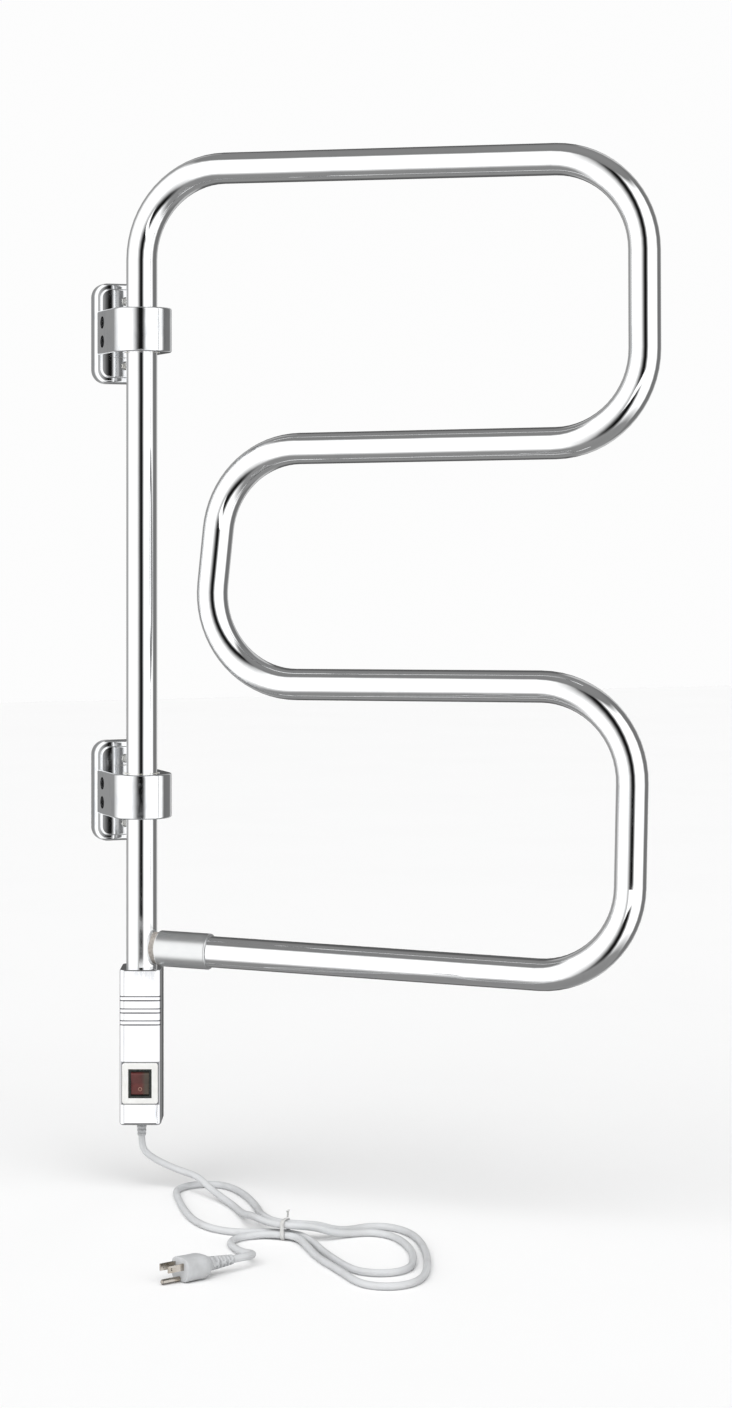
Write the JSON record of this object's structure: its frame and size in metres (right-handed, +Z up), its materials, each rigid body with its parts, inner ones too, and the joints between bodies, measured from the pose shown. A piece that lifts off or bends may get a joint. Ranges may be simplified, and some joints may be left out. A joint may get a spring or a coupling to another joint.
{
  "type": "towel warmer rack",
  "caption": "Swivelling electric towel warmer: one serpentine chrome tube on two wall brackets, with a rocker switch housing on its post and a mains lead.",
  "frame": {"origin": "centre of the upper bracket's two wall screws, on the wall plane", "axes": "+X along the wall to the right, +Y into the wall along the screws, +Z up"},
  "size_m": [0.5249, 0.6012, 1.0701],
  "materials": {
    "tube_chrome": "bright chrome plating on bent steel tube",
    "socket_chrome": "satin chrome sleeve",
    "bracket_chrome": "bright chrome plated casting",
    "housing_chrome": "bright chrome plated shell",
    "screw_steel": "zinc plated steel",
    "bolt_black": "black oxide steel",
    "nylon": "natural nylon",
    "gasket_fibre": "warm grey fibre rubber",
    "bezel_cream": "cream moulding, satin gloss",
    "switch_black": "black moulding, satin gloss",
    "rocker_red": "dark red translucent rocker, unlit",
    "terminal_brass": "bare brass",
    "block_white": "white moulding",
    "core_brown": "brown insulation",
    "core_blue": "blue insulation",
    "core_green": "green and yellow insulation",
    "cable_silicone": "silicone sheath",
    "cord_grey": "pale grey flexible sheath, satin",
    "tie_white": "white film over wire",
    "blade_nickel": "nickel plated contact"
  },
  "bodies": {
    "brackets": {"upper_wall_plate": "bracket_chrome", "upper_clamp_arm": "bracket_chrome", "upper_clamp_cover": "bracket_chrome", "upper_bush": "nylon", "upper_wall_screws": "screw_steel", "upper_clamp_bolts": "bolt_black", "upper_arm_screws": "screw_steel", "lower_wall_plate": "bracket_chrome", "lower_clamp_arm": "bracket_chrome", "lower_clamp_cover": "bracket_chrome", "lower_bush": "nylon", "lower_wall_screws": "screw_steel", "lower_clamp_bolts": "bolt_black", "lower_arm_screws": "screw_steel", "power_cord": "cord_grey", "cord_tie": "tie_white", "plug_relief": "cord_grey", "plug_body": "cord_grey", "plug_blades": "blade_nickel", "plug_ground_pin": "blade_nickel"},
    "rack": {"heating_tube": "tube_chrome", "tube_socket": "socket_chrome", "saddle_gasket": "gasket_fibre", "socket_stud": "screw_steel", "tube_end_plug": "nylon", "heating_cable": "cable_silicone", "housing_cover": "housing_chrome", "housing_back": "housing_chrome", "housing_bosses": "block_white", "housing_screws": "screw_steel", "post_ring": "screw_steel", "post_plug": "nylon", "switch_bezel": "bezel_cream", "switch_body": "switch_black", "switch_terminals": "terminal_brass", "terminal_block": "block_white", "terminal_screws": "terminal_brass", "thermal_cutout": "switch_black", "live_core": "core_brown", "neutral_core": "core_blue", "earth_core": "core_green", "cord_gland": "cord_grey", "inner_lead": "cord_grey", "lead_clamp": "nylon"},
    "switch_rocker": {"rocker": "rocker_red"}
  },
  "joints": [
    {"name": "rack_swivel", "type": "hinge", "parent": "brackets", "child": "rack", "pos_m": [0, -0.072, 0], "axis": [0, 0, 1], "range_deg": [-138, 42]},
    {"name": "rocker_tilt", "type": "hinge", "parent": "rack", "child": "switch_rocker", "pos_m": [-0.0073, -0.09008, -0.7785], "axis": [0.9272, -0.3746, 0], "range_deg": [-16, 0]}
  ]
}
